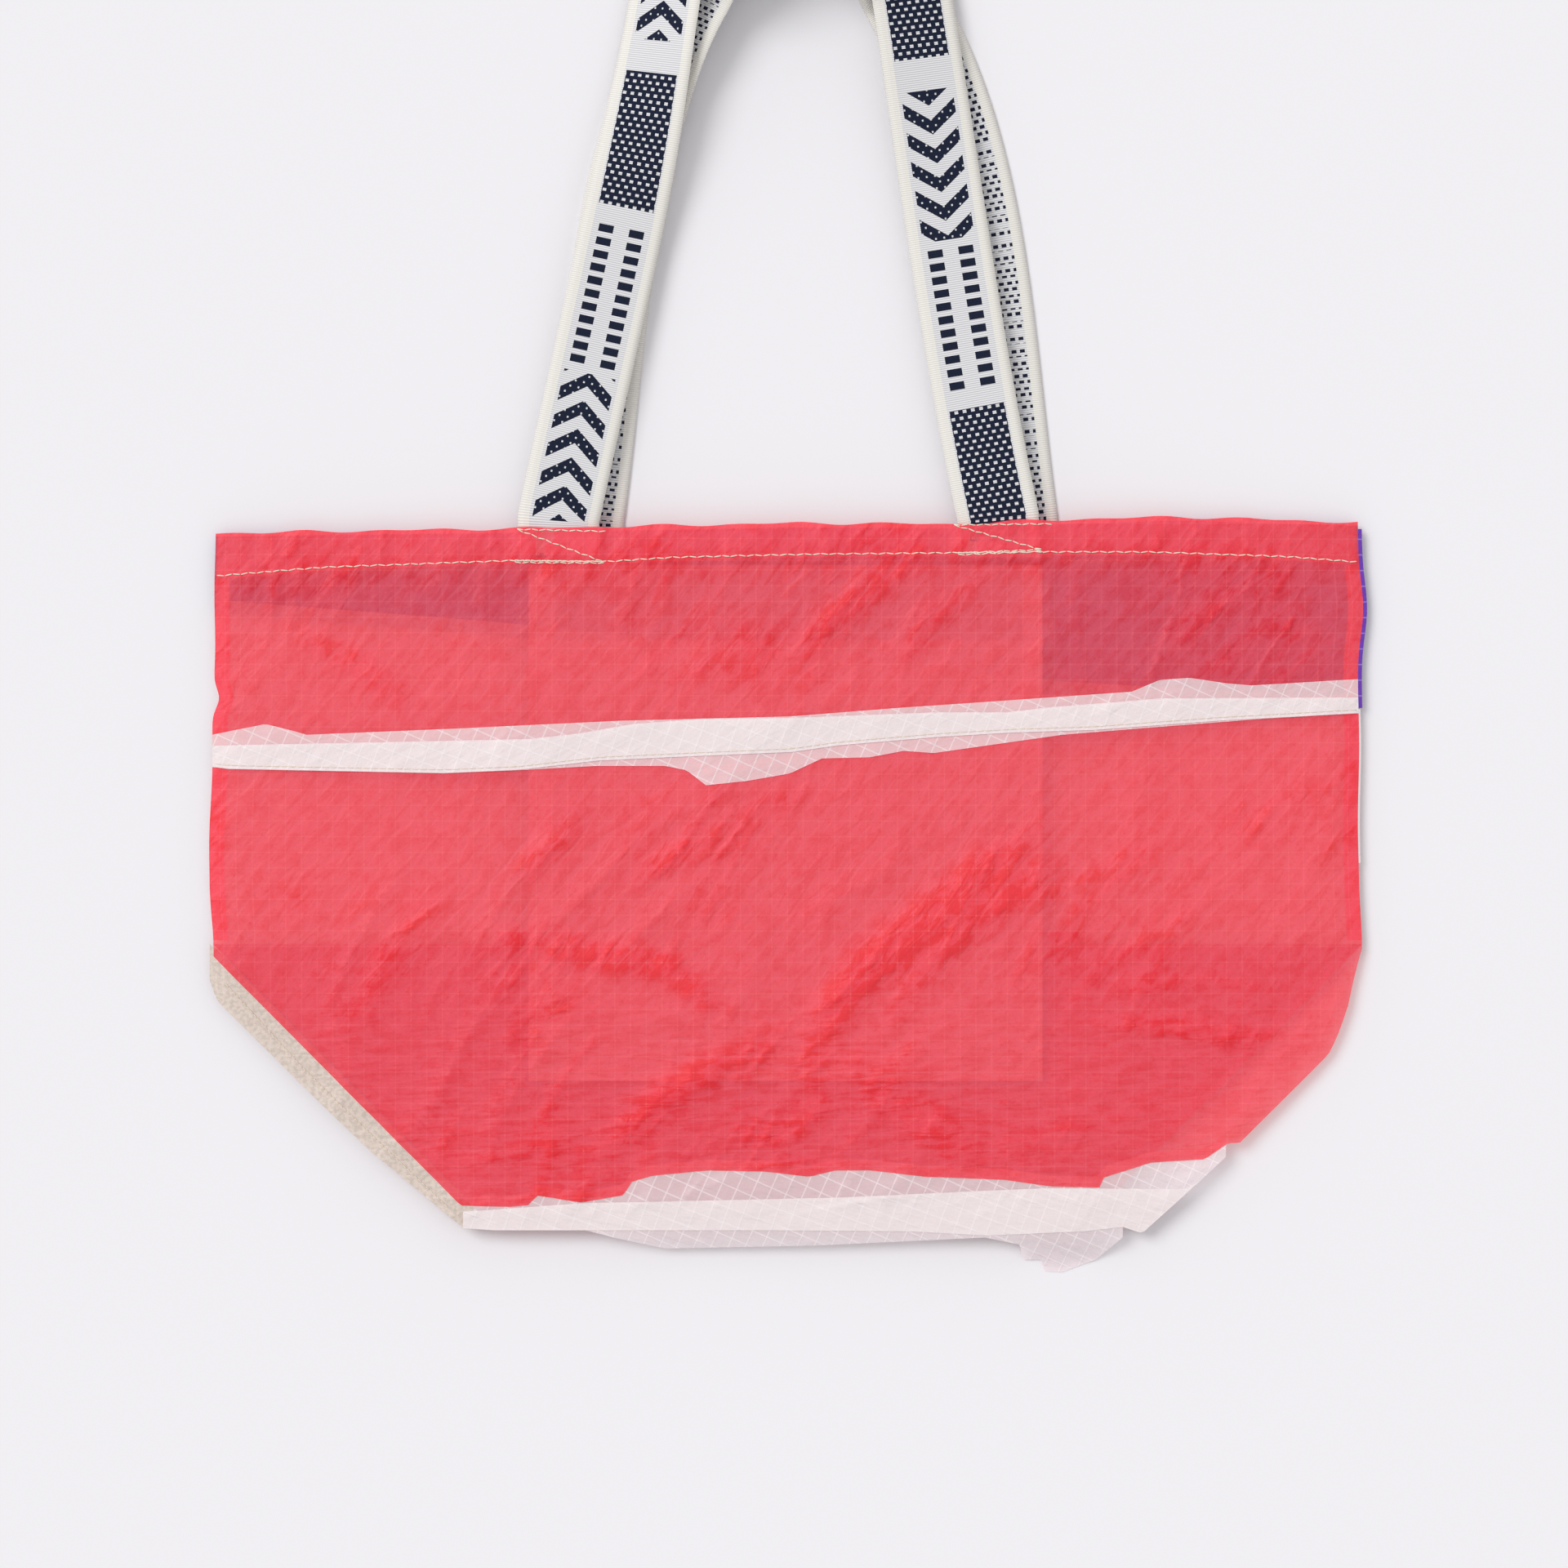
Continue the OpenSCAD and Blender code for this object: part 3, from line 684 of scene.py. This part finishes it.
def make_pocket():
    """The stow pocket inside the front panel: two layers, open at the top, with doubled edges."""
    outer = cloth("pocket_layer_outer", pocket_cloth, POCKET_X, POCKET_Y[0], POCKET_Y[1], front_z(-0.6))
    finish_sheet(outer, ["pocket_outer"])
    inner = cloth("pocket_layer_inner", pocket_cloth, POCKET_X, POCKET_Y[0], POCKET_MOUTH, front_z(-0.9))
    finish_sheet(inner, ["pocket_inner"])
    edges = {
        "left": ((POCKET_X[0], POCKET_X[0] + 12.5), POCKET_Y),
        "right": ((POCKET_X[1] - 9, POCKET_X[1]), POCKET_Y),
        "bottom": (POCKET_X, (POCKET_Y[0], POCKET_Y[0] + 6)),
    }
    pieces = [outer, inner]
    for name, (span, (low, high)) in edges.items():
        edge = cloth(f"pocket_edge_{name}", pocket_cloth, span, low, high, front_z(-1.05), step=2)
        finish_sheet(edge)
        pieces.append(edge)
    for piece in pieces:
        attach(piece, "front_panel")


# ---------------------------------------------------------------- the back panel
def back_hem_z(x, y):
    """The back hem's surface, with the webbing ends under it."""
    return back_z(0.35)(x, y) + 1.5 * strap_bulge(x, y, HANDLES["back"]["hem_x"])


def back_edge_z(x, y):
    """The back cloth where it shows past the front's right edge, level from just inside the side seam."""
    return back_z(-0.2)(np.minimum(x, HALF_W - 1.5), y)


def make_back():
    seam = curve(BACK_SEAM)
    top = curve([(x, y - 1.5) for x, y in TOP_EDGE])
    low = lambda x: np.maximum(0, np.abs(x) - FOLD_X)
    for side, span in SIDES.items():
        centre = side == "left"
        upper = cloth(f"back_cloth_upper_{side}", purple, span, seam, top, back_z())
        lower = cloth(f"back_cloth_lower_{side}", pale, span, low, lambda x: seam(x) + 6, back_z(0.12))
        finish_sheet(upper,
                     [f"back_upper_{side}"] + (["back_upper_centre"] if centre else []))
        finish_sheet(lower,
                     [f"back_lower_{side}"] + (["back_lower_centre"] if centre else []))
        hem = cloth(f"back_hem_fold_{side}", purple, span, BAG_H - 15, lambda x: top(x) - 0.3, back_hem_z,
                    step=2)
        finish_sheet(hem,
                     [f"back_hem_{side}"] + (["back_hem_centre"] if centre else []))
        edge = (-HALF_W, -HALF_W + 7) if centre else (HALF_W - 7, HALF_W)
        if side == "right":
            peek = cloth("back_edge_right", purple, (HALF_W - 4, HALF_W + 1.8), lambda x: seam(x) + 1.5,
                         lambda x: top(x) - 1.5, back_edge_z, step=1.5)
            finish_sheet(peek)
            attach(peek, "back_flank_right")
            pale_peek = cloth("back_edge_right_pale", pale, (HALF_W - 4, HALF_W + 0.9), FOLD_C + 38,
                              lambda x: seam(x) + 1, back_edge_z, step=1.5)
            finish_sheet(pale_peek)
            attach(pale_peek, "back_flank_right")
        strip = cloth(f"back_side_seam_{side}", pale, edge, FOLD_C + 2, BAG_H - 17, back_z(0.3), step=2)
        finish_sheet(strip, [f"side_seam_back_{side}"])
        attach(strip, f"back_flank_{side}")
        for piece in (upper, lower, hem):
            across_fold(piece)


# ---------------------------------------------------------------- the base and its corners
def make_base():
    for half in ("rear", "front"):
        front = half == "front"
        obj = cloth(f"base_cloth_{half}", shaded_tucked, (-FOLD_X, FOLD_X), 0, FOLD_C, base_z(front))
        node = "base_front" if front else "base_back"
        finish_sheet(obj, [node])
        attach(obj, f"base_{half}_half")
        seam = cloth(f"base_allowance_{half}", shaded_tucked, (-FOLD_X, FOLD_X), FOLD_C - 0.3, FOLD_C + 6,
                     lambda x, y: MID_Z + (0.12 if front else -0.12) * smooth(y, FOLD_C, FOLD_C + 3) + 0 * x,
                     step=2.5)
        finish_sheet(seam,
                     ["base_seam_front" if front else "base_seam_back"])
        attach(seam, f"base_{half}_half")


def make_corner(panel, side, steps=44):
    """A corner's triangle, folded in flat at rest, from the fold's end F to the seam's ends D and E."""
    sign = 1 if side == "right" else -1
    start, slope = (FRONT_Z, -RISE) if panel == "front" else (BACK_Z, RISE)
    points, faces = [], []
    for i in range(steps + 1):
        t = i / steps
        for j in range(i + 1):
            inside = min(j, i - j) / steps * (1 - t)
            points.append((sign * (FOLD_X + FOLD_C * j / steps), FOLD_C * t,
                           start + slope * t + math.copysign(1.2, slope) * inside))
    for i in range(steps):
        a, b = i * (i + 1) // 2, (i + 1) * (i + 2) // 2
        for j in range(i + 1):
            faces.append((a + j, b + j, b + j + 1))
            if j < i:
                faces.append((a + j, b + j + 1, a + j + 1))
    points = np.array(points)
    verts = to_frame(*points.T)
    obj = new_mesh(f"corner_cloth_{panel}_{side}", verts, faces, points[:, :2] * MM, shaded_tucked)
    obj["flat"] = [FOLD_C * MM, FOLD_C * MM, 0.5 * FOLD_C * FOLD_C * MM * MM]
    finish_sheet(obj, [f"corner_{panel}_{side}"])
    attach(obj, f"corner_fold_{panel}_{side}")


# ---------------------------------------------------------------- handles
def bezier(p, u):
    return (1 - u) ** 3 * p[0] + 3 * (1 - u) ** 2 * u * p[1] + 3 * (1 - u) * u * u * p[2] + u ** 3 * p[3]


def ease(u):
    return float(smooth(u, 0, 1))


def strand(hem_x, arch_x, lean, side, twist, steps=56):
    """Stations [x, y, twist] up one strand; side is 1 for the left strand, which leans to the right."""
    pull = (ARCH_Y - BAG_H) / 3
    a0, a1 = (math.radians(a) for a in lean)
    ends = np.array([
        (hem_x, HINGE_Y + 0.5),
        (hem_x + pull * side * math.sin(a0), HINGE_Y + 0.5 + pull * math.cos(a0)),
        (arch_x - pull * side * math.sin(a1), ARCH_Y - pull * math.cos(a1)),
        (arch_x, ARCH_Y),
    ])
    return [(*bezier(ends, i / steps), twist * ease(2 * i / steps - 1)) for i in range(steps + 1)]


def arch(arch_x, lean, steps=60):
    """Stations over the top, where the webbing turns on its edge."""
    r = (arch_x[1] - arch_x[0]) / 2 / math.cos(math.radians(lean))
    centre = ((arch_x[0] + arch_x[1]) / 2, ARCH_Y - r * math.sin(math.radians(lean)))
    stations = []
    for i in range(1, steps):
        u = i / steps
        angle = math.radians(180 - lean - u * (180 - 2 * lean))
        low = ARCH_TWIST[0 if u < 0.5 else 1]
        twist = low + (90 - low) * ease(1 - abs(2 * u - 1))
        stations.append((centre[0] + r * math.cos(angle), centre[1] + r * math.sin(angle), twist))
    return stations


def make_handle(name):
    spec = HANDLES[name]
    hem_x, arch_x, lean = spec["hem_x"], spec["arch_x"], spec["lean"]
    inside = np.linspace(312.5, HINGE_Y - 2, 8)
    route = [(hem_x[0], y, 0) for y in inside]
    route += strand(hem_x[0], arch_x[0], lean, 1, ARCH_TWIST[0])
    route += arch(arch_x, lean[1])
    route += strand(hem_x[1], arch_x[1], lean, -1, ARCH_TWIST[1])[::-1]
    route += [(hem_x[1], y, 0) for y in inside[::-1]]
    route = np.array(route)
    xy, twist = route[:, :2], np.radians(route[:, 2])
    run = np.gradient(xy, axis=0)
    run /= np.linalg.norm(run, axis=1)[:, None]
    for _ in range(3):  # turns gently where the strap leaves the hem, so that its edge never folds back
        run[1:-1] = run[:-2] + 2 * run[1:-1] + run[2:]
        run /= np.linalg.norm(run, axis=1)[:, None]
    inward = np.stack([run[:, 1], -run[:, 0]], -1)
    steps = np.linalg.norm(np.diff(xy, axis=0), axis=1)
    along = np.concatenate([[0], np.cumsum(steps)])
    centre_z = spec["z"] * (1 - np.sin(twist)) + (STRAP_W / 2 + 0.15) * np.sin(twist)
    wide = np.stack([inward[:, 0] * np.cos(twist), inward[:, 1] * np.cos(twist), np.sin(twist)], -1)
    thick = np.stack([-inward[:, 0] * np.sin(twist), -inward[:, 1] * np.sin(twist), np.cos(twist)], -1)
    across = np.linspace(-1, 1, 13)
    profile = [(a, 1) for a in across] + [(a, -1) for a in across[::-1]]
    verts, uvs = [], []
    for i, (x, y) in enumerate(xy):
        for a, face in profile:
            edge = 1 - 0.55 * smooth(abs(a), 0.93, 1.0)
            place = (np.array([x, y, centre_z[i]]) + wide[i] * a * STRAP_W / 2
                     + thick[i] * face * STRAP_T / 2 * edge)
            verts.append(place)
            uvs.append(((a + 1) * STRAP_W / 2 + (0 if face == spec["up"] else 100), along[i]))
    n, count = len(profile), len(xy)
    faces = [(i * n + k, i * n + (k + 1) % n, (i + 1) * n + (k + 1) % n, (i + 1) * n + k)
             for i in range(count - 1) for k in range(n)]
    faces += [tuple(range(n - 1, -1, -1)), tuple(range((count - 1) * n, count * n))]
    verts = np.array(verts)
    obj = new_mesh(f"webbing_{name}", to_frame(*verts.T), faces, np.array(uvs) * MM, webbing)
    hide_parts(f"handle_{name}", f"{name}_handle_end_left", f"{name}_handle_end_right")
    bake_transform(obj)
    return obj


# ---------------------------------------------------------------- stitches
def stitches(name, lines, z, replaces=(), pitch=3.8, width=0.6, zigzag=0.3):
    """Runs of thread on the cloth: every stitch is a small bead that tapers at both ends."""
    middles, ways, tilts = [], [], []
    for points in lines:
        points = np.array(points, float)
        lengths = np.concatenate([[0], np.cumsum(np.linalg.norm(np.diff(points, axis=0), axis=1))])
        count = max(1, int(round(lengths[-1] / pitch)))
        marks = np.linspace(0, lengths[-1], count + 1)
        ends = np.stack([np.interp(marks, lengths, points[:, k]) for k in (0, 1)], -1)
        middles.append((ends[1:] + ends[:-1]) / 2)
        ways.append(ends[1:] - ends[:-1])
        tilts.append(np.where(np.arange(count) % 2, zigzag, -zigzag))
    middle, way, tilt = np.concatenate(middles), np.concatenate(ways), np.concatenate(tilts)
    across = np.stack([-way[:, 1], way[:, 0]], -1) / np.linalg.norm(way, axis=1)[:, None]
    angle = np.arange(6) * math.tau / 6
    t, fat = np.array([(-0.46, 0.35), (-0.3, 0.9), (0.0, 1.0), (0.3, 0.9), (0.46, 0.35)]).T
    spine = middle[:, None] + way[:, None] * t[:, None] + across[:, None] * (tilt[:, None] * t * 2)[..., None]
    height = z(spine[..., 0], spine[..., 1]) + 0.12 + 0.12 * fat
    round_it = np.cos(angle) * width / 2 * fat[:, None]
    flat = spine[:, :, None] + across[:, None, None] * round_it[None, ..., None]
    x, y = flat[..., 0], flat[..., 1]
    verts = to_frame(x + side_shift(x, y), y, height[..., None] + np.sin(angle) * 0.28 * fat[:, None])
    beads = np.arange(len(middle)) * len(t) * 6
    ring = [(i * 6 + k, i * 6 + (k + 1) % 6, (i + 1) * 6 + (k + 1) % 6, (i + 1) * 6 + k)
            for i in range(len(t) - 1) for k in range(6)]
    caps = [tuple(range(5, -1, -1)), tuple((len(t) - 1) * 6 + k for k in range(6))]
    faces = [tuple(int(b) + k for k in face) for b in beads for face in ring + caps]
    obj = new_mesh(name, verts, faces, flat.reshape(-1, 2) * MM, thread)
    if replaces:
        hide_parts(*replaces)
    return obj


def make_stitches():
    hem = curve(HEM_STITCH)
    spans = {"left": np.linspace(-HALF_W + 1, -0.1, 60), "right": np.linspace(0.1, HALF_W - 1, 60)}
    for side, xs in spans.items():
        centre = side == "left"
        line = np.stack([xs, hem(xs)], -1)
        run = stitches(f"front_hem_stitches_{side}", [line], front_z(),
                       [f"front_hem_thread_{side}"] + (["front_hem_thread_centre"] if centre else []))
        across_fold(run)
        inset = np.clip(xs, 12 - HALF_W, HALF_W - 12)
        line = np.stack([inset, 0 * xs + BAG_H - 13.5], -1)
        run = stitches(f"back_hem_stitches_{side}", [line], back_z(0.45),
                       [f"back_hem_thread_{side}"] + (["back_hem_thread_centre"] if centre else []))
        across_fold(run)
        line = np.stack([xs, curve(BAND_LOW)(xs) + 1.6], -1)
        run = stitches(f"middle_tape_stitches_{side}", [line], front_z(0.6),
                       [f"front_tape_thread_{side}"] + (["front_tape_thread_centre"] if centre else []),
                       width=0.35, zigzag=0)
        across_fold(run)
    left_box = ((-126, 325.5), (-84.5, 324.5), (-86, 310.5), (-127, 311))
    right_box = ((77, 327.5), (123, 328), (118, 316), (79, 314.5))
    lines = []
    for a, b, c, d in (left_box, right_box):
        lines += [[a, b], [d, c], [(d[0], d[1] - 0.9), (c[0] + 1, c[1] - 0.7)], [a, c]]
    run = stitches("front_handle_stitches", lines, front_z(), ["front_handle_thread"], pitch=3.6)
    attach(run, "front_panel")
    reach = STRAP_W / 2 - 2
    lines = []
    high, low = BAG_H - 1.5, BAG_H - 12
    for x in HANDLES["back"]["hem_x"]:
        left, right = x - reach, x + reach
        lines += [[(left, high), (right, high)], [(left, high), (right, low)], [(left, low), (right, low)]]
    run = stitches("back_handle_stitches", lines, back_hem_z, ["back_handle_thread"])
    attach(run, "back_panel")
    left, right = POCKET_X[0] + 3, POCKET_X[1] - 3
    low, high = POCKET_Y[0] + 3, POCKET_MOUTH - 1
    line = [(left, high), (left, low), (right, low), (right, high)]
    run = stitches("pocket_stitches", [line], front_z(-1.6), ["pocket_thread"], width=0.5)
    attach(run, "front_panel")
    line = [(-262, 114), (-226, 75), (-194, 44), (-158, 10)]
    run = stitches("corner_tape_stitches", [line], front_z(-0.35), pitch=2.4, width=0.4, zigzag=0)
    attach(run, "front_flank_left")


make_front()
make_middle_tape()
make_bottom_tape()
make_corner_tape()
make_pocket()
make_back()
make_base()
for panel in ("front", "back"):
    for side in SIDES:
        make_corner(panel, side)
for name in HANDLES:
    make_handle(name)
make_stitches()


# ---------------------------------------------------------------- the studio
def make_floor():
    tree = Tree("studio_floor")
    material = tree.output(
        tree.node("ShaderNodeBsdfPrincipled", {"Base Color": (0.875, 0.86, 0.89, 1), "Roughness": 0.9,
                                               "Specular IOR Level": 0.1}).outputs[0]
    )
    bpy.ops.mesh.primitive_plane_add(size=12, location=(0, 0, 0))
    floor = bpy.context.object
    floor.name = "studio_floor"
    floor.data.materials.append(material)


def soft_sun(name, towards, width, power):
    """A broad, even light from far away, so that the floor is lit the same everywhere."""
    lamp = bpy.data.lights.new(name, "SUN")
    lamp.angle = math.radians(width)
    lamp.energy = power
    obj = bpy.data.objects.new(name, lamp)
    obj.rotation_euler = Vector(towards).to_track_quat("-Z", "Y").to_euler()
    bpy.context.collection.objects.link(obj)


def make_studio():
    make_floor()
    world = bpy.data.worlds.new("studio")
    world.use_nodes = True
    world.node_tree.nodes["Background"].inputs[0].default_value = (1.0, 1.0, 1.0, 1)
    world.node_tree.nodes["Background"].inputs[1].default_value = 0.67
    bpy.context.scene.world = world
    soft_sun("key", (0.75, -0.55, -1.0), 30, 1.45)
    scene = bpy.context.scene
    scene.view_settings.view_transform = "Standard"
    scene.cycles.transparent_max_bounces = 32
    # The photograph is taken from straight above
    centre, height, view_width = (-0.0017, -0.0929), 2.0, 0.7296
    camera = bpy.data.cameras.new("camera")
    camera.sensor_width = 36
    camera.lens = 36 * (height - FRONT_Z * MM) / view_width
    camera.dof.use_dof = False
    obj = bpy.data.objects.new("camera", camera)
    obj.location = (*centre, height)
    bpy.context.collection.objects.link(obj)
    scene.camera = obj


make_studio()
